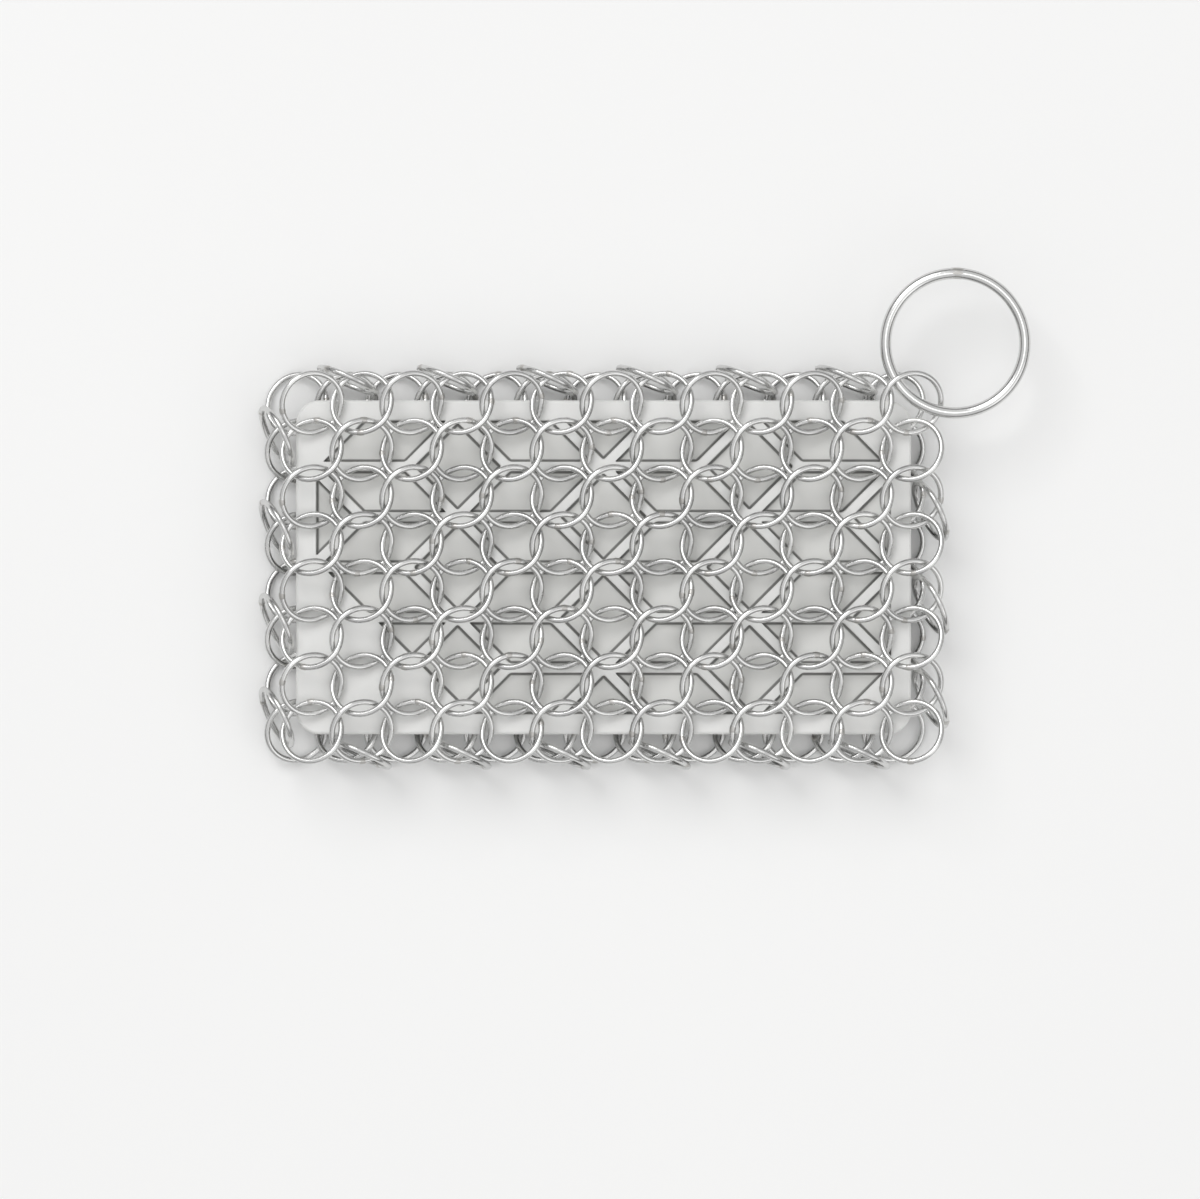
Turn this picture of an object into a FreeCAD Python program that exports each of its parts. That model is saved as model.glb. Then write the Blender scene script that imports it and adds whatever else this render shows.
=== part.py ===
import FreeCAD, Part
import math
import os

# Mail rings: welded wire rings, each linked through four neighbours
ring_inner_d = 10.82
wire_d = 1.15
ring_gap = 0.15
ring_tilt = 24.0
column_count = 13
row_count = 8
column_step_share = 0.729

# Two sheets of mail, the back one lying a little to the left
sheet_shift = 3.2
face_gap = 0.12

# Closing rings that join the edges of the two sheets
side_out_share = 0.9
side_along_share = 0.45
side_turn = 24.0
end_out_share = 0.75
end_along_share = 0.2
end_turn = 65.0

# Moulded core inside the mail
core_thick = 4.2
core_side_gap = 0.2
core_end_gap = 0.85
core_corner_r = 4.5
core_edge_r = 0.6
core_border = 3.0
rib_width = 1.8
pocket_depth = 1.3
lattice_columns = 4
lattice_rows = 6
bare_rows = 3

# Hanging ring through the top right corner ring
hang_inner_d = 24.8
hang_wire_d = 2.2
hang_seat = 0.8
hang_direction = 54.0

overrun = 1.0

# Worked out from the sizes above
ring_r = (ring_inner_d + wire_d) / 2
wire_r = wire_d / 2
ring_outer_d = ring_inner_d + 2 * wire_d
diagonal_step = ring_outer_d + ring_gap
column_step = column_step_share * diagonal_step
row_step = math.sqrt(diagonal_step ** 2 - column_step ** 2)
ring_rise = ring_r * math.sin(math.radians(ring_tilt))
sheet_height = core_thick / 2 + face_gap + wire_r + ring_rise
middle_z = sheet_height + ring_rise + wire_r
edge_x = (column_count - 1) / 2 * column_step
edge_y = (row_count - 1) / 2 * row_step

right = FreeCAD.Vector(1, 0, 0)
away = FreeCAD.Vector(0, 1, 0)
up = FreeCAD.Vector(0, 0, 1)
tilt_axis = FreeCAD.Vector(1, 1, 0)


def flat_direction(angle):
    return FreeCAD.Vector(math.cos(math.radians(angle)), math.sin(math.radians(angle)), 0)


def tilt_sign(column, row):
    return 1 if (column + row) % 2 == 0 else -1


def ring_centre(column, row, side):
    x = column * column_step - edge_x + side * sheet_shift / 2
    y = edge_y - row * row_step
    return FreeCAD.Vector(x, y, middle_z + side * sheet_height)


def mail_ring(column, row, side):
    turn = FreeCAD.Rotation(tilt_axis, tilt_sign(column, row) * ring_tilt)
    normal = turn.multVec(up)
    normal.z = side * normal.z
    return Part.makeTorus(ring_r, wire_r, ring_centre(column, row, side), normal)


def closing_ring(column, row, offset, turn):
    # Stands across the edge, through one front ring and the back ring behind it
    front = ring_centre(column, row, 1)
    back = ring_centre(column, row, -1)
    line = (front - back).normalize()
    flat = flat_direction(turn)
    normal = flat - line * flat.dot(line)
    centre = (front + back) / 2 + offset * ring_r
    return Part.makeTorus(ring_r, wire_r, centre, normal)


def corner(column, row):
    return column == column_count - 1 and row == 0


def mail_row(row, side):
    rings = []
    for column in range(column_count):
        if side < 0 or not corner(column, row):
            rings.append(mail_ring(column, row, side))
    return Part.makeCompound(rings)


def side_closing_rings(column, outward, sign):
    # Only the rings that dip outwards at this edge are closed, and not the corner one
    rings = []
    offset = outward * side_out_share - away * (sign * side_along_share)
    for row in range(row_count):
        if tilt_sign(column, row) == sign and not corner(column, row):
            rings.append(closing_ring(column, row, offset, side_turn))
    return Part.makeCompound(rings)


def end_closing_rings(row, outward, sign):
    rings = []
    offset = outward * end_out_share + right * (sign * end_along_share)
    for column in range(column_count):
        if tilt_sign(column, row) == sign:
            rings.append(closing_ring(column, row, offset, end_turn))
    return Part.makeCompound(rings)


def core_half_sizes():
    # The core stops just inside the closing rings, which lean along its length only
    lean = sheet_shift / (2 * sheet_height) * core_thick / 2
    side_reach = ring_r * (side_out_share - math.sin(math.radians(side_turn)))
    end_reach = ring_r * (end_out_share - math.cos(math.radians(end_turn)))
    half_x = edge_x + side_reach - lean - wire_r - core_side_gap
    half_y = edge_y + end_reach - wire_r - core_end_gap
    return half_x, half_y


def polygon_face(points):
    corners = [FreeCAD.Vector(x, y, 0) for x, y in points]
    return Part.Face(Part.makePolygon(corners + corners[:1]))


def diamond_points(x, y, reach):
    return [(x - reach, y), (x, y - reach), (x + reach, y), (x, y + reach)]


def slanted_points(left_x, right_x, low, high, slope):
    # Slanted pocket of one lattice row, with 45 degree ends
    rise = high - low
    lean_low = 0 if slope > 0 else rise
    lean_high = rise if slope > 0 else 0
    inset = rib_width / math.sqrt(2)
    start = left_x + inset
    end = right_x - rise - inset
    edge = rib_width / 2 * slope
    return [
        (start + lean_low + edge, low + rib_width / 2),
        (end + lean_low + edge, low + rib_width / 2),
        (end + lean_high - edge, high - rib_width / 2),
        (start + lean_high - edge, high - rib_width / 2),
    ]


def pocket_faces():
    half_x, half_y = core_half_sizes()
    reach_x = half_x - core_border
    reach_y = half_y - core_border
    step_x = 2 * reach_x / lattice_columns
    step_y = 2 * reach_y / lattice_rows
    rim_x = reach_x - rib_width / 2
    rim_y = reach_y - rib_width / 2
    bare = bare_rows * step_y + rib_width / math.sqrt(2) - rib_width / 2
    field = polygon_face([
        (-rim_x, rim_y), (rim_x, rim_y), (rim_x, -rim_y),
        (-rim_x + bare, -rim_y), (-rim_x, -rim_y + bare),
    ])
    # Diamonds on the crossings, but none in the corners of the field
    shapes = []
    for row in range(lattice_rows + 1):
        y = reach_y - row * step_y
        for column in range(lattice_columns + 1):
            x = column * step_x - reach_x
            in_corner = row in (0, lattice_rows) and column in (0, lattice_columns)
            if (row + column) % 2 == 0 and not in_corner:
                shapes.append(diamond_points(x, y, step_y - rib_width / math.sqrt(2)))
            if row < lattice_rows and column < lattice_columns:
                slope = 1 if (row + column) % 2 == 0 else -1
                shapes.append(slanted_points(x, x + step_x, y - step_y, y, slope))
    faces = []
    for points in shapes:
        faces.extend(polygon_face(points).common(field).Faces)
    return faces


def core_pad():
    half_x, half_y = core_half_sizes()
    low_z = middle_z - core_thick / 2
    high_z = middle_z + core_thick / 2
    pad = Part.makeBox(2 * half_x, 2 * half_y, core_thick, FreeCAD.Vector(-half_x, -half_y, low_z))
    uprights = [edge for edge in pad.Edges if abs(edge.tangentAt(0).z) > math.cos(math.pi / 4)]
    pad = pad.makeFillet(core_corner_r, uprights)
    rims = [edge for edge in pad.Edges if edge.BoundBox.ZLength < core_edge_r / 2]
    pad = pad.makeFillet(core_edge_r, rims)
    cuts = []
    for face in pocket_faces():
        deep = up * (pocket_depth + overrun)
        cuts.append(face.translated(up * (high_z - pocket_depth)).extrude(deep))
        cuts.append(face.translated(up * (low_z + pocket_depth)).extrude(-deep))
    return pad.cut(cuts)


def hanging_ring():
    hang_r = (hang_inner_d + hang_wire_d) / 2
    corner_centre = ring_centre(column_count - 1, 0, 1)
    centre = corner_centre + flat_direction(hang_direction) * (hang_r + hang_seat)
    return Part.makeTorus(hang_r, hang_wire_d / 2, centre, up)


def save(shape, name):
    shape.exportStep("parts/" + name + ".step")
    print(name, len(shape.Solids), "solids", round(shape.Volume, 2))


os.makedirs("parts", exist_ok=True)
for row in range(row_count):
    save(mail_row(row, 1), "front_row_" + str(row + 1))
    save(mail_row(row, -1), "back_row_" + str(row + 1))
save(mail_ring(column_count - 1, 0, 1), "corner_ring")
save(side_closing_rings(0, -right, -1), "left_closing_rings")
save(side_closing_rings(column_count - 1, right, 1), "right_closing_rings")
save(end_closing_rings(0, away, -1), "top_closing_rings")
save(end_closing_rings(row_count - 1, -away, 1), "bottom_closing_rings")
save(core_pad(), "core_pad")
save(hanging_ring(), "hanging_ring")
print("mail sheet", [round(2 * edge + ring_outer_d, 2) for edge in (edge_x, edge_y)])
print("core", [round(2 * half, 2) for half in core_half_sizes()], "thickness", round(2 * middle_z, 2))
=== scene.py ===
import math
import random

import bmesh
import bpy
from mathutils import Matrix, Vector


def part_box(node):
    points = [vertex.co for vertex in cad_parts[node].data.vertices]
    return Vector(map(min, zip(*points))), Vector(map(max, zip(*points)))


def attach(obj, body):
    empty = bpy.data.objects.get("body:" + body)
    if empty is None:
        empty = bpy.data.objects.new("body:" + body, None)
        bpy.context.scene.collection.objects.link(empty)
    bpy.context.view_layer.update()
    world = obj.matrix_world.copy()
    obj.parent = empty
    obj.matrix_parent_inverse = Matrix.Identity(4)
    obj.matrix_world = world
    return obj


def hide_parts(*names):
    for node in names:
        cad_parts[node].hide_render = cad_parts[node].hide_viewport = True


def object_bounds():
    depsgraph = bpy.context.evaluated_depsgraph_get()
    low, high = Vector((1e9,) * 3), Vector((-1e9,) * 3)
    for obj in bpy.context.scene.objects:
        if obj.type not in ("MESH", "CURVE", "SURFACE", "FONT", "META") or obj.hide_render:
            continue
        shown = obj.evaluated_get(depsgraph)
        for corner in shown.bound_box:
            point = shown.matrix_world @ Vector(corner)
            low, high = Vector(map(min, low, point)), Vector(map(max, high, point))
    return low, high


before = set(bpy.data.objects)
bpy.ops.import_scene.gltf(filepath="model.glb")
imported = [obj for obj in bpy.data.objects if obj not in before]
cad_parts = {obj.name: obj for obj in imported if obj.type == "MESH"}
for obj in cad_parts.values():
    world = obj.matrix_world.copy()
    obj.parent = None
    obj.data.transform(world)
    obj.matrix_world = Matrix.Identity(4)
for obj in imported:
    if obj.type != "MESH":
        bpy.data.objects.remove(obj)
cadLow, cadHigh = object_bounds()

mm = 0.001
tiny = 1e-6
chance = random.Random(7)


def clearSelection():
    if bpy.context.object and bpy.context.object.mode != "OBJECT":
        bpy.ops.object.mode_set(mode="OBJECT")
    bpy.ops.object.select_all(action="DESELECT")


def pickPiece(piece):
    clearSelection()
    piece.select_set(True)
    bpy.context.view_layer.objects.active = piece


def editPiece(piece):
    pickPiece(piece)
    bpy.ops.object.mode_set(mode="EDIT")
    bpy.ops.mesh.select_mode(type="EDGE")


def pickEdges(piece, wanted):
    bpy.ops.mesh.select_all(action="DESELECT")
    shape = bmesh.from_edit_mesh(piece.data)
    for edge in shape.edges:
        edge.select_set(wanted(edge.verts[0].co, edge.verts[1].co))
    bmesh.update_edit_mesh(piece.data)


def pickFaces(piece, wanted):
    bpy.ops.mesh.select_all(action="DESELECT")
    shape = bmesh.from_edit_mesh(piece.data)
    for face in shape.faces:
        face.select_set(wanted(face.normal))
    bmesh.update_edit_mesh(piece.data)


def settle(piece):
    # place, turn and size go into the mesh
    pickPiece(piece)
    bpy.ops.object.transform_apply(location=True, rotation=True, scale=True)


def joinPieces(pieces, name):
    clearSelection()
    for piece in pieces:
        piece.select_set(True)
    bpy.context.view_layer.objects.active = pieces[0]
    bpy.ops.object.join()
    joined = bpy.context.object
    joined.name = name
    joined.data.name = name
    return joined


def copyPiece(piece, name, place):
    mesh = piece.data.copy()
    mesh.transform(place)
    twin = bpy.data.objects.new(name, mesh)
    bpy.context.scene.collection.objects.link(twin)
    return twin


# finishes

def newFinish(name):
    finish = bpy.data.materials.new(name)
    finish.use_nodes = True
    nodes = finish.node_tree.nodes
    shader = nodes["Principled BSDF"]
    place = nodes.new("ShaderNodeTexCoord")
    return finish, nodes, finish.node_tree.links, shader, place.outputs["Object"]


def addNoise(nodes, links, place, scale, detail, roughness=0.5):
    noise = nodes.new("ShaderNodeTexNoise")
    noise.inputs["Scale"].default_value = scale
    noise.inputs["Detail"].default_value = detail
    noise.inputs["Roughness"].default_value = roughness
    links.new(place, noise.inputs["Vector"])
    return noise.outputs["Fac"]


def addRamp(nodes, links, source, stops):
    ramp = nodes.new("ShaderNodeValToRGB")
    band = ramp.color_ramp
    while len(band.elements) < len(stops):
        band.elements.new(0.5)
    for element, (at, colour) in zip(band.elements, stops):
        element.position = at
        element.color = (*colour, 1)
    links.new(source, ramp.inputs["Fac"])
    return ramp.outputs["Color"]


def addRange(nodes, links, source, low, high, fromLow=0.3, fromHigh=0.7):
    span = nodes.new("ShaderNodeMapRange")
    span.inputs["From Min"].default_value = fromLow
    span.inputs["From Max"].default_value = fromHigh
    span.inputs["To Min"].default_value = low
    span.inputs["To Max"].default_value = high
    links.new(source, span.inputs["Value"])
    return span.outputs["Result"]


def addBump(nodes, links, height, strength, depth, under=None):
    bump = nodes.new("ShaderNodeBump")
    bump.inputs["Strength"].default_value = strength
    bump.inputs["Distance"].default_value = depth
    links.new(height, bump.inputs["Height"])
    if under:
        links.new(under, bump.inputs["Normal"])
    return bump.outputs["Normal"]


steelWear = {  # noise: scale, detail, roughness; bump: strength, depth
    "clouds": (130, 2.0), "tumbling": (1400, 4.0, 0.6), "grain": (5200, 3.0, 0.65),
    "darkAt": 0.32, "lightAt": 0.68, "dents": (0.06, 0.05 * mm), "scratches": (0.10, 0.02 * mm),
}
steelLook = {"dark": (0.58, 0.58, 0.575), "light": (0.74, 0.74, 0.73), "roughLow": 0.15, "roughHigh": 0.29}
weldLook = {"dark": (0.46, 0.45, 0.43), "light": (0.62, 0.61, 0.59), "roughLow": 0.28, "roughHigh": 0.44}
hangLook = {"dark": (0.62, 0.62, 0.615), "light": (0.74, 0.74, 0.73), "roughLow": 0.12, "roughHigh": 0.22}


def makeSteel(name, look):
    steel, nodes, links, shader, place = newFinish(name)
    shader.inputs["Metallic"].default_value = 1.0
    clouds = addNoise(nodes, links, place, *steelWear["clouds"])
    tumbling = addNoise(nodes, links, place, *steelWear["tumbling"])
    grain = addNoise(nodes, links, place, *steelWear["grain"])
    stops = [(steelWear["darkAt"], look["dark"]), (steelWear["lightAt"], look["light"])]
    links.new(addRamp(nodes, links, clouds, stops), shader.inputs["Base Color"])
    links.new(addRange(nodes, links, tumbling, look["roughLow"], look["roughHigh"]), shader.inputs["Roughness"])
    dents = addBump(nodes, links, tumbling, *steelWear["dents"])
    links.new(addBump(nodes, links, grain, *steelWear["scratches"], dents), shader.inputs["Normal"])
    return steel


siliconeLook = {
    "low": (0.84, 0.84, 0.825), "high": (0.89, 0.89, 0.875), "lowAt": 0.35, "highAt": 0.65,
    # painted shade in the pockets, set by height: tones for the floor, the corners and walls, and the ribs
    "paintedPocketShade": (0.93, 0.93, 0.92), "paintedCornerShade": (0.24, 0.24, 0.235), "ribShade": (1, 1, 1),
    "floorUpTo": 0.03, "cornerFrom": 0.08, "cornerUpTo": 0.62, "ribFrom": 0.84,  # heights in a pocket
    "heightLayer": "pocketHeight", "roughLow": 0.42, "roughHigh": 0.58,
    "clouds": (70, 3.0), "mouldGrain": (3600, 4.0, 0.6), "grainBump": (0.18, 0.04 * mm),
    "glow": 0.06, "glowRadius": (1.0, 0.95, 0.9), "glowScale": 0.5 * mm,
}


def makeSilicone(look):
    silicone, nodes, links, shader, place = newFinish("mouldedSilicone")
    shader.inputs["Subsurface Weight"].default_value = look["glow"]
    shader.inputs["Subsurface Radius"].default_value = look["glowRadius"]
    shader.inputs["Subsurface Scale"].default_value = look["glowScale"]
    clouds = addNoise(nodes, links, place, *look["clouds"])
    grain = addNoise(nodes, links, place, *look["mouldGrain"])
    tint = addRamp(nodes, links, clouds, [(look["lowAt"], look["low"]), (look["highAt"], look["high"])])
    # painted shade: the pocket floors a little darker, the pockets' corners and walls much darker, the ribs keep
    # the silicone's own colour
    height = nodes.new("ShaderNodeAttribute")
    height.attribute_name = look["heightLayer"]
    shades = addRamp(nodes, links, height.outputs["Fac"], [
        (0.0, look["paintedPocketShade"]), (look["floorUpTo"], look["paintedPocketShade"]),
        (look["cornerFrom"], look["paintedCornerShade"]), (look["cornerUpTo"], look["paintedCornerShade"]),
        (look["ribFrom"], look["ribShade"]),
    ])
    paintedShade = nodes.new("ShaderNodeMix")
    paintedShade.data_type = "RGBA"
    paintedShade.blend_type = "MULTIPLY"
    paintedShade.inputs["Factor"].default_value = 1.0
    links.new(tint, paintedShade.inputs["A"])
    links.new(shades, paintedShade.inputs["B"])
    links.new(paintedShade.outputs["Result"], shader.inputs["Base Color"])
    links.new(addRange(nodes, links, grain, look["roughLow"], look["roughHigh"]), shader.inputs["Roughness"])
    links.new(addBump(nodes, links, grain, *look["grainBump"]), shader.inputs["Normal"])
    return silicone


ringSteel = makeSteel("tumbledRingSteel", steelLook)
weldSteel = makeSteel("weldedSteel", weldLook)
hangSteel = makeSteel("polishedRingSteel", hangLook)
siliconeFinish = makeSilicone(siliconeLook)
print("finishes made")


# core: a moulded slab with a lattice of ribs on both faces

core = {
    "cornerRadius": 4.5 * mm, "cornerSteps": 12, "edgeRound": 0.6 * mm, "edgeSteps": 5, "border": 3.0 * mm,
    "columns": 4, "rows": 6, "bareRows": 3, "ribWidth": 1.8 * mm, "pocketDepth": 1.3 * mm,
    "floorRound": 0.75 * mm, "cornerRound": 0.45 * mm, "roundSteps": 3, "rimRound": 0.3 * mm, "rimSteps": 4,
    "rimOver": 0.01 * mm, "overrun": 0.6 * mm, "seamWidth": 0.16 * mm, "seamSteps": 2, "seamRise": 0.08 * mm,
    "smoothAngle": 50,
}
coreLow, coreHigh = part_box("core_pad")
coreMiddle = (coreLow + coreHigh) / 2


def makeSlab():
    clearSelection()
    bpy.ops.mesh.primitive_cube_add(size=1, location=coreMiddle)
    slab = bpy.context.object
    slab.scale = coreHigh - coreLow
    settle(slab)
    editPiece(slab)
    pickEdges(slab, lambda a, b: abs(a.z - b.z) > core["edgeRound"])
    bpy.ops.mesh.bevel(offset=core["cornerRadius"], segments=core["cornerSteps"], affect="EDGES")
    pickEdges(slab, lambda a, b: abs(a.z - b.z) < tiny)
    bpy.ops.mesh.bevel(offset=core["edgeRound"], segments=core["edgeSteps"], affect="EDGES")

    def onSeam(a, b):
        return abs(a.z - coreMiddle.z) < tiny and abs(b.z - coreMiddle.z) < tiny

    # fine seam line where the two halves of the mould meet
    bpy.ops.mesh.select_all(action="SELECT")
    bpy.ops.mesh.bisect(plane_co=coreMiddle, plane_no=(0, 0, 1))
    pickEdges(slab, onSeam)
    bpy.ops.mesh.bevel(offset=core["seamWidth"], segments=core["seamSteps"], affect="EDGES")
    pickEdges(slab, onSeam)
    bpy.ops.transform.shrink_fatten(value=core["seamRise"])
    bpy.ops.object.mode_set(mode="OBJECT")
    return slab


def pocketOutlines():
    # diamonds on the crossings of the lattice but not in its corners, slanted pockets between them
    reachX = (coreHigh.x - coreLow.x) / 2 - core["border"]
    reachY = (coreHigh.y - coreLow.y) / 2 - core["border"]
    stepX = 2 * reachX / core["columns"]
    stepY = 2 * reachY / core["rows"]
    rib = core["ribWidth"]
    slantRib = rib / math.sqrt(2)
    half = stepY - slantRib
    outlines = []
    for row in range(core["rows"] + 1):
        y = coreMiddle.y + reachY - row * stepY
        for column in range(core["columns"] + 1):
            x = coreMiddle.x - reachX + column * stepX
            even = (row + column) % 2 == 0
            inCorner = row in (0, core["rows"]) and column in (0, core["columns"])
            if even and not inCorner:
                outlines.append([(x - half, y), (x, y - half), (x + half, y), (x, y + half)])
            if row < core["rows"] and column < core["columns"]:
                leanLow = 0 if even else stepY
                leanHigh = stepY if even else 0
                start = x + slantRib
                end = x + stepX - stepY - slantRib
                edge = rib / 2 if even else -rib / 2
                low = y - stepY + rib / 2
                high = y - rib / 2
                outlines.append([
                    (start + leanLow + edge, low), (end + leanLow + edge, low),
                    (end + leanHigh - edge, high), (start + leanHigh - edge, high),
                ])
    bare = core["bareRows"] * stepY + slantRib - rib / 2
    rimX = reachX - rib / 2
    rimY = reachY - rib / 2
    limits = [  # the field's four sides, and the slant of its bare corner
        (Vector((coreMiddle.x + rimX, 0, 0)), Vector((1, 0, 0))),
        (Vector((coreMiddle.x - rimX, 0, 0)), Vector((-1, 0, 0))),
        (Vector((0, coreMiddle.y + rimY, 0)), Vector((0, 1, 0))),
        (Vector((0, coreMiddle.y - rimY, 0)), Vector((0, -1, 0))),
        (Vector((coreMiddle.x - rimX + bare, coreMiddle.y - rimY, 0)), Vector((-1, -1, 0)).normalized()),
    ]
    return outlines, limits


def roundEdges(width):
    bpy.ops.mesh.bevel(offset=width, segments=core["roundSteps"], affect="EDGES", clamp_overlap=True)


def flareRim(block, topZ):
    # rounded lip, flaring up to the face
    pickFaces(block, lambda normal: normal.z > 0.9)  # the top
    corners = [vertex.co for vertex in bmesh.from_edit_mesh(block.data).verts]
    left = min(corner.x for corner in corners)
    right = max(corner.x for corner in corners)
    near = min(corner.y for corner in corners)
    far = max(corner.y for corner in corners)
    width = right - left
    depth = far - near
    middle = ((right + left) / 2, (far + near) / 2, topZ)
    grown = 0
    risen = 0
    for step in range(1, core["rimSteps"] + 1):
        turn = math.pi / 2 * step / core["rimSteps"]
        out = core["rimRound"] * (1 - math.cos(turn))
        rise = core["rimRound"] * math.sin(turn) + (core["rimOver"] if step == core["rimSteps"] else 0)
        bpy.ops.mesh.extrude_region_move(TRANSFORM_OT_translate={"value": (0, 0, rise - risen)})
        size = ((width + 2 * out) / (width + 2 * grown), (depth + 2 * out) / (depth + 2 * grown), 1)
        bpy.ops.transform.resize(value=size, center_override=middle)
        grown = out
        risen = rise
    bpy.ops.mesh.extrude_region_move(TRANSFORM_OT_translate={"value": (0, 0, core["overrun"])})


def pocketBlock(outline, limits):
    floorZ = coreHigh.z - core["pocketDepth"]
    topZ = coreHigh.z - core["rimRound"]
    clearSelection()
    bpy.ops.mesh.primitive_cylinder_add(
        vertices=len(outline), radius=mm, depth=topZ - floorZ, location=(0, 0, (topZ + floorZ) / 2))
    block = bpy.context.object
    settle(block)
    for vertex in block.data.vertices:  # left, near, right and far edges go to the outline's corners
        turn = round(math.atan2(vertex.co.y, vertex.co.x) / (math.pi / 2))
        vertex.co.x, vertex.co.y = outline[(turn + 2) % len(outline)]
    editPiece(block)
    for at, outward in limits:
        past = max((vertex.co - at).dot(outward) for vertex in bmesh.from_edit_mesh(block.data).verts)
        if past > tiny:
            bpy.ops.mesh.select_all(action="SELECT")
            bpy.ops.mesh.bisect(plane_co=at, plane_no=outward, use_fill=True, clear_outer=True)
        if not bmesh.from_edit_mesh(block.data).verts:  # all of it was outside
            bpy.ops.object.mode_set(mode="OBJECT")
            bpy.data.objects.remove(block)
            return None
    pickEdges(block, lambda a, b: a.z < floorZ + tiny and b.z < floorZ + tiny)
    roundEdges(core["floorRound"])
    pickEdges(block, lambda a, b: max(a.z, b.z) > topZ - tiny and abs(a.z - b.z) > tiny)
    roundEdges(core["cornerRound"])
    bpy.ops.mesh.select_mode(type="FACE")
    flareRim(block, topZ)
    bpy.ops.object.mode_set(mode="OBJECT")
    return block


def paintHeights(slab):
    # 0 on the pocket floors, 1 on the ribs and all round the border
    layer = slab.data.attributes.new(siliconeLook["heightLayer"], "FLOAT", "POINT")
    reach = (coreHigh - coreLow) / 2
    for vertex in slab.data.vertices:
        off = vertex.co - coreMiddle
        inField = abs(off.x) < reach.x - core["border"] and abs(off.y) < reach.y - core["border"]
        below = reach.z - abs(off.z)
        layer.data[vertex.index].value = 1 - below / core["pocketDepth"] if inField else 1


def makeCore():
    slab = makeSlab()
    outlines, limits = pocketOutlines()
    blocks = [block for block in (pocketBlock(outline, limits) for outline in outlines) if block]
    print("core pockets", len(blocks))
    frontPockets = joinPieces(blocks, "frontPockets")
    turnOver = Matrix.Translation((0, 0, 2 * coreMiddle.z)) @ Matrix.Scale(-1, 4, (0, 0, 1))
    backPockets = copyPiece(frontPockets, "backPockets", turnOver)
    backPockets.data.flip_normals()
    pockets = joinPieces([frontPockets, backPockets], "pockets")
    pickPiece(slab)
    bpy.ops.object.modifier_add(type="BOOLEAN")
    cut = slab.modifiers[-1]
    cut.operation = "DIFFERENCE"
    cut.solver = "EXACT"
    cut.object = pockets
    bpy.ops.object.modifier_apply(modifier=cut.name)
    bpy.data.objects.remove(pockets)
    paintHeights(slab)
    bpy.ops.object.shade_smooth_by_angle(angle=math.radians(core["smoothAngle"]))
    bpy.ops.object.modifier_add(type="WEIGHTED_NORMAL")
    slab.modifiers[-1].keep_sharp = True
    bpy.ops.object.modifier_apply(modifier=slab.modifiers[-1].name)
    slab.name = "silicone_core"
    slab.data.materials.append(siliconeFinish)
    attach(slab, "core")
    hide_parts("core_pad")
    print("core made", len(slab.data.polygons), "faces")


makeCore()


# mail rings: wire rings in two sheets, and the rings that close the edges

mail = {
    "innerDiameter": 10.82 * mm, "wire": 1.15 * mm, "gap": 0.15 * mm, "tilt": 24.0, "columns": 13, "rows": 8,
    "columnStepShare": 0.729, "sheetShift": 3.2 * mm, "faceGap": 0.12 * mm, "coreThick": 4.2 * mm,
}
closing = {  # shares of the ring's radius, and turns in degrees
    "sideOut": 0.9, "sideAlong": 0.45, "sideTurn": 24.0, "endOut": 0.75, "endAlong": 0.2, "endTurn": 65.0,
}
for name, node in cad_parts.items():
    node.data.materials.clear()
    node.data.materials.append(hangSteel if name == "hanging_ring" else ringSteel)
print("rings finished", len(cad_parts) - 1)

ringRadius = (mail["innerDiameter"] + mail["wire"]) / 2
diagonalStep = mail["innerDiameter"] + 2 * mail["wire"] + mail["gap"]
columnStep = mail["columnStepShare"] * diagonalStep
rowStep = math.sqrt(diagonalStep ** 2 - columnStep ** 2)
ringRise = ringRadius * math.sin(math.radians(mail["tilt"]))
sheetHeight = mail["coreThick"] / 2 + mail["faceGap"] + mail["wire"] / 2 + ringRise
middleZ = sheetHeight + ringRise + mail["wire"] / 2
lastColumn = mail["columns"] - 1
lastRow = mail["rows"] - 1
right = Vector((1, 0, 0))
away = Vector((0, 1, 0))


def flatDirection(angle):
    return Vector((math.cos(math.radians(angle)), math.sin(math.radians(angle)), 0))


def atHangingRing(column, row):
    return column == lastColumn and row == 0


def ringCentre(column, row, side):
    x = (column - lastColumn / 2) * columnStep + side * mail["sheetShift"] / 2
    y = (lastRow / 2 - row) * rowStep
    return Vector((x, y, middleZ + side * sheetHeight))


def tiltSign(column, row):
    return 1 if (column + row) % 2 == 0 else -1


def ringNormal(column, row, side):
    turn = Matrix.Rotation(math.radians(mail["tilt"]) * tiltSign(column, row), 3, Vector((1, 1, 0)))
    normal = turn @ Vector((0, 0, 1))
    normal.z *= side
    return normal


def closingPlace(column, row, offset, turn):
    front = ringCentre(column, row, 1)
    back = ringCentre(column, row, -1)
    line = (front - back).normalized()
    flat = flatDirection(turn)
    normal = (flat - line * flat.dot(line)).normalized()
    return (front + back) / 2 + offset * ringRadius, normal


def closingRings():
    # centre, axis and outward direction of each, in the order left, right, top, bottom
    rings = []
    for column, outward, sign in ((0, -right, -1), (lastColumn, right, 1)):
        offset = outward * closing["sideOut"] - away * (sign * closing["sideAlong"])
        for row in range(mail["rows"]):
            if tiltSign(column, row) == sign and not atHangingRing(column, row):
                rings.append((*closingPlace(column, row, offset, closing["sideTurn"]), outward))
    for row, outward, sign in ((0, away, -1), (lastRow, -away, 1)):
        offset = outward * closing["endOut"] + right * (sign * closing["endAlong"])
        for column in range(mail["columns"]):
            if tiltSign(column, row) == sign:
                rings.append((*closingPlace(column, row, offset, closing["endTurn"]), outward))
    return rings


# welds: a low bead where each ring's wire is closed

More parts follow.
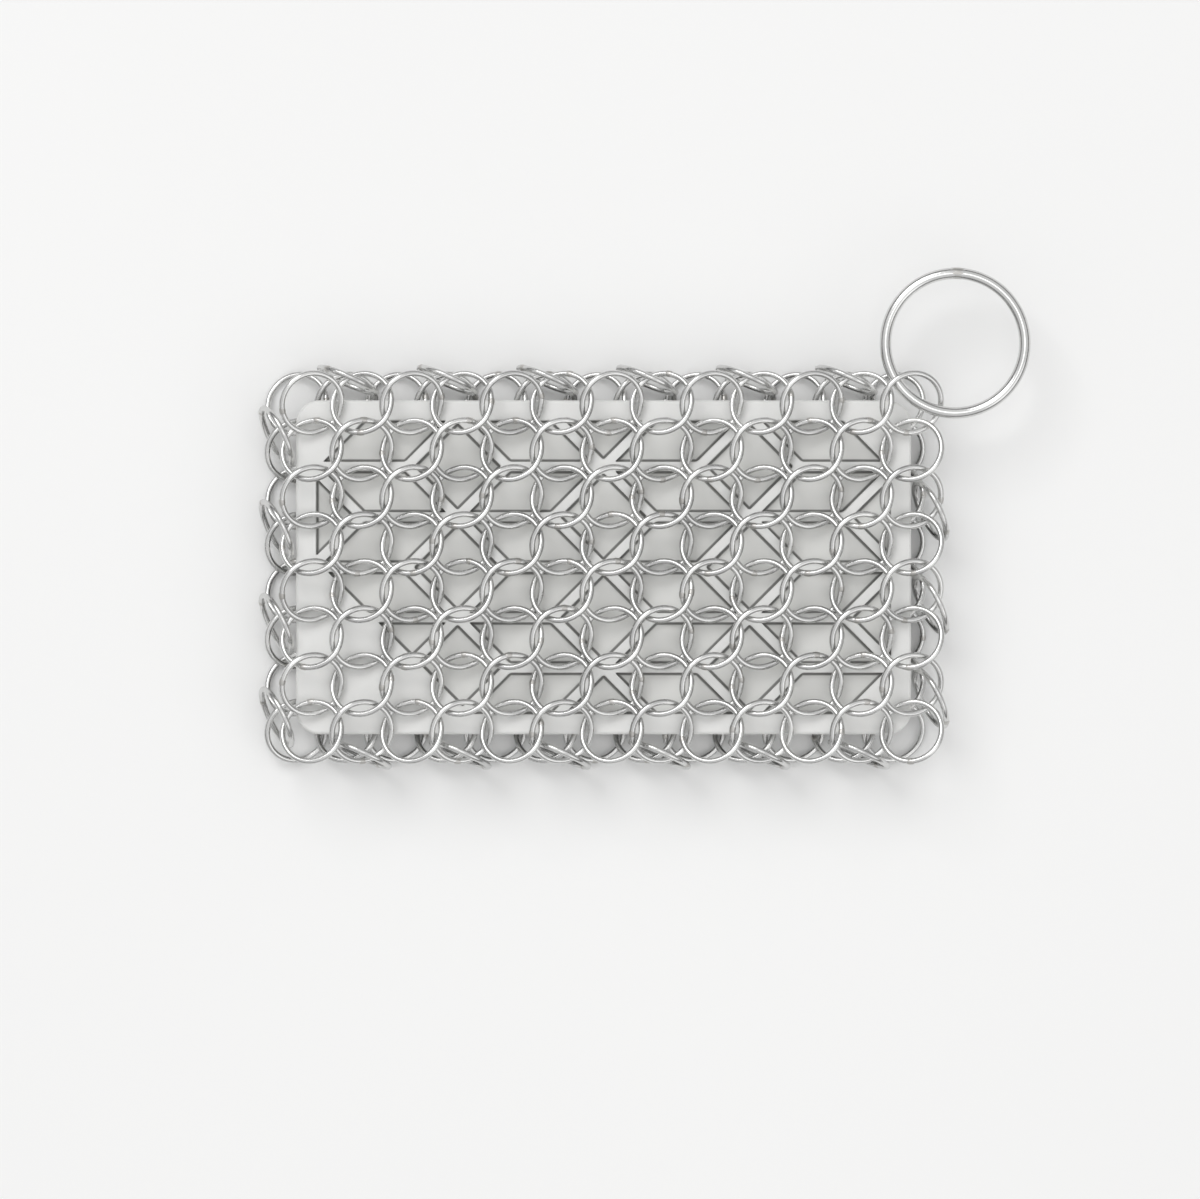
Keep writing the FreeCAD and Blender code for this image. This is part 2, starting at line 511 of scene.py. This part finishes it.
weld = {
    "length": 1.5 * mm, "sink": 0.035 * mm, "bulge": 0.055 * mm, "sides": 10, "cuts": 4,
    "shoulderShare": 0.6, "shoulderReach": 0.35, "crownReach": 0.15, "crownLean": 0.015 * mm, "smoothAngle": 60,
    "spread": 12.0, "cornerQuarter": 3, "closingLift": 0.3, "hangTurn": 88.0, "hangWire": 2.2 * mm,
}


def makeBead(wire):
    clearSelection()
    length = weld["length"] * wire / mail["wire"]
    root = wire / 2 - weld["sink"]
    bpy.ops.mesh.primitive_cylinder_add(vertices=weld["sides"], radius=root, depth=length)
    bead = bpy.context.object
    editPiece(bead)
    pickEdges(bead, lambda a, b: abs(a.z - b.z) > length / 2)
    bpy.ops.mesh.subdivide(number_cuts=weld["cuts"])
    shoulder = wire / 2 + weld["shoulderShare"] * weld["bulge"]
    crown = wire / 2 + weld["bulge"]
    for reach, size in ((weld["shoulderReach"], shoulder / root), (weld["crownReach"], crown / shoulder)):
        pickEdges(bead, lambda a, b: abs(a.z - b.z) < tiny and abs(a.z) < reach * length)
        bpy.ops.transform.resize(value=(size, size, 1), center_override=(0, 0, 0))
    crownEnd = weld["crownReach"] * length
    pickEdges(bead, lambda a, b: abs(a.z) < crownEnd and abs(b.z) < crownEnd)
    bpy.ops.transform.translate(value=(weld["crownLean"], 0, 0))
    bpy.ops.object.mode_set(mode="OBJECT")
    bpy.ops.object.shade_smooth_by_angle(angle=math.radians(weld["smoothAngle"]))
    bead.data.materials.append(weldSteel)
    return bead


def beadPlace(centre, normal, radius, towards):
    out = (towards - normal * towards.dot(normal)).normalized()
    along = out.cross(normal)
    turn = Matrix((out, normal, along)).transposed().to_4x4()  # radial, along the ring's axis, along the wire
    return Matrix.Translation(centre + out * radius) @ turn


def addWelds(name, body, bead, places):
    beads = [copyPiece(bead, "bead", place) for place in places]
    welds = joinPieces(beads, name)
    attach(welds, body)


mailBead = makeBead(mail["wire"])
for side, name in ((1, "front_welds"), (-1, "back_welds")):
    places = []
    for row in range(mail["rows"]):
        for column in range(mail["columns"]):
            clearOfHanging = side > 0 and atHangingRing(column, row)
            quarter = weld["cornerQuarter"] if clearOfHanging else chance.randrange(4)
            towards = flatDirection(90 * quarter + chance.uniform(-weld["spread"], weld["spread"]))
            centre = ringCentre(column, row, side)
            places.append(beadPlace(centre, ringNormal(column, row, side), ringRadius, towards))
    addWelds(name, "mail", mailBead, places)

places = []
for centre, normal, outward in closingRings():
    lift = Vector((0, 0, chance.uniform(-weld["closingLift"], weld["closingLift"])))
    places.append(beadPlace(centre, normal, ringRadius, outward + lift))
addWelds("closing_welds", "mail", mailBead, places)
bpy.data.objects.remove(mailBead)
print("welds made", len(places), "on the closing rings")

hangLow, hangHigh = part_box("hanging_ring")
hangBead = makeBead(weld["hangWire"])
hangRadius = (hangHigh.x - hangLow.x - weld["hangWire"]) / 2
hangPlace = beadPlace((hangLow + hangHigh) / 2, Vector((0, 0, 1)), hangRadius, flatDirection(weld["hangTurn"]))
addWelds("hanging_ring_weld", "hanging_ring", hangBead, [hangPlace])
bpy.data.objects.remove(hangBead)
print("hanging ring's weld made")


# floor, light and camera

stage = {
    "floorSize": 40.0, "floorDrop": 0.02 * mm, "floorColour": (0.94, 0.94, 0.935), "floorDull": 0.985,
    "floorClouds": (4, 2.0), "dullAt": 0.3, "paleAt": 0.7, "floorRough": 0.8, "floorGloss": 0.2,
    "horizon": 0.12, "overhead": 0.80, "horizonUpTo": 0.1, "overheadFrom": 0.62,
}
lamps = {  # place, width, power
    "keyLamp": ((-0.75, 1.30, 1.70), 1.2, 13.5),
    "fillLamp": ((1.30, -0.90, 1.30), 1.4, 3.0),
    "topLamp": ((0.10, 0.10, 2.60), 1.2, 4.0),
}


def makeFloor():
    clearSelection()
    floorPlace = (0, 0, cadLow.z - stage["floorDrop"])
    bpy.ops.mesh.primitive_plane_add(size=stage["floorSize"], location=floorPlace)
    floor = bpy.context.object
    floor.name = "floor"
    paper, nodes, links, shader, place = newFinish("palePaper")
    shader.inputs["Roughness"].default_value = stage["floorRough"]
    shader.inputs["Specular IOR Level"].default_value = stage["floorGloss"]
    clouds = addNoise(nodes, links, place, *stage["floorClouds"])
    pale = stage["floorColour"]
    dull = tuple(channel * stage["floorDull"] for channel in pale)
    shades = addRamp(nodes, links, clouds, [(stage["dullAt"], dull), (stage["paleAt"], pale)])
    links.new(shades, shader.inputs["Base Color"])
    floor.data.materials.append(paper)


def makeLamp(name, place, width, power):
    lamp = bpy.data.lights.new(name, "AREA")
    lamp.shape = "DISK"
    lamp.size = width
    lamp.energy = power
    holder = bpy.data.objects.new(name, lamp)
    bpy.context.scene.collection.objects.link(holder)
    holder.location = place
    holder.rotation_euler = Vector(place).to_track_quat("Z", "Y").to_euler()  # shines at the origin
    holder.visible_camera = False


def makeRoom():
    # bright overhead and dark round the sides, so that each wire gets a pale crown and dark edges
    room = bpy.data.worlds.new("paleRoom")
    bpy.context.scene.world = room
    room.use_nodes = True
    nodes = room.node_tree.nodes
    links = room.node_tree.links
    around = nodes.new("ShaderNodeTexCoord")
    parts = nodes.new("ShaderNodeSeparateXYZ")
    links.new(around.outputs["Generated"], parts.inputs["Vector"])
    low = (stage["horizon"],) * 3
    high = (stage["overhead"],) * 3
    glow = addRamp(nodes, links, parts.outputs["Z"], [(stage["horizonUpTo"], low), (stage["overheadFrom"], high)])
    links.new(glow, nodes["Background"].inputs["Color"])


makeFloor()
makeRoom()
for name, (place, width, power) in lamps.items():
    makeLamp(name, place, width, power)
bpy.context.scene.view_settings.view_transform = "Standard"

camera = {
    "lens": 300.0, "sensor": 36.0, "frameWidth": 232.2 * mm, "aim": (-0.68 * mm, -6.25 * mm),
    "planeZ": 13.5 * mm, "sightEnd": 50,
}
lensData = bpy.data.cameras.new("camera")
lensData.lens = camera["lens"]
lensData.sensor_width = camera["sensor"]
lensData.clip_end = camera["sightEnd"]
viewer = bpy.data.objects.new("camera", lensData)
bpy.context.scene.collection.objects.link(viewer)
viewer.location = (*camera["aim"], camera["planeZ"] + camera["frameWidth"] * camera["lens"] / camera["sensor"])
bpy.context.scene.camera = viewer
print("stage set")

bpy.context.view_layer.update()
